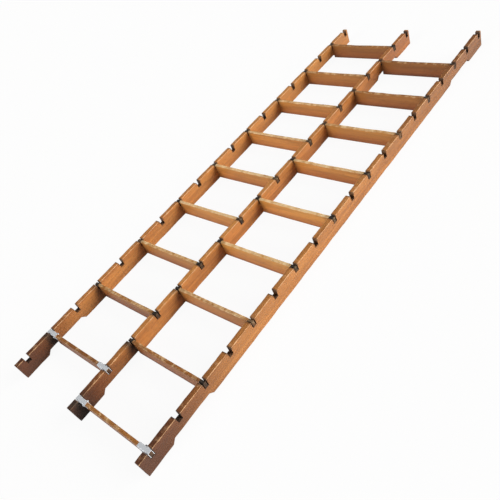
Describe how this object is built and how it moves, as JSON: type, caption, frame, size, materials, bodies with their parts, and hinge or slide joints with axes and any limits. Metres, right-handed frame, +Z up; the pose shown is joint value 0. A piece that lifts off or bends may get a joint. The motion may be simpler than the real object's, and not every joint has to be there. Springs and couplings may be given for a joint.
{
  "type": "three-rail wooden ladder frame",
  "caption": "Long flat wooden ladder frame: parallel notched plank rails joined by two staggered rows of thin board rungs on edge, with steel caps on the lowest rungs.",
  "frame": {"origin": "on the resting plane, under the middle rail, half way along the frame", "axes": "+X across the frame from the left row of rungs to the right row, +Y along the rails from the end with the capped rungs to the other end, +Z up from the rails' lower edges to their notched edges"},
  "size_m": [0.828, 2.597, 0.082],
  "materials": {
    "rail_wood": "worn orange-brown varnish, grain along the rail",
    "rung_wood": "worn orange-brown varnish, grain along the rung",
    "dowel_wood": "bare turned hardwood, hidden in the joints",
    "cap_steel": "bright zinc-plated folded sheet",
    "fastener_steel": "zinc-plated"
  },
  "bodies": {
    "root": {"rail_left": "rail_wood", "rail_middle": "rail_wood", "rail_right": "rail_wood", "rung_left_01": "rung_wood", "rung_left_02": "rung_wood", "rung_left_03": "rung_wood", "rung_left_04": "rung_wood", "rung_left_05": "rung_wood", "rung_left_06": "rung_wood", "rung_left_07": "rung_wood", "rung_left_08": "rung_wood", "rung_left_09": "rung_wood", "rung_right_01": "rung_wood", "rung_right_02": "rung_wood", "rung_right_03": "rung_wood", "rung_right_04": "rung_wood", "rung_right_05": "rung_wood", "rung_right_06": "rung_wood", "rung_right_07": "rung_wood", "rung_right_08": "rung_wood", "rung_right_09": "rung_wood", "dowels_left_rail": "dowel_wood", "dowels_middle_rail": "dowel_wood", "dowels_right_rail": "dowel_wood", "rung_cap_left_outer": "cap_steel", "rung_cap_left_inner": "cap_steel", "rung_cap_right_inner": "cap_steel", "rung_cap_right_outer": "cap_steel", "cap_bolts": "fastener_steel", "cap_nuts": "fastener_steel"}
  },
  "joints": []
}
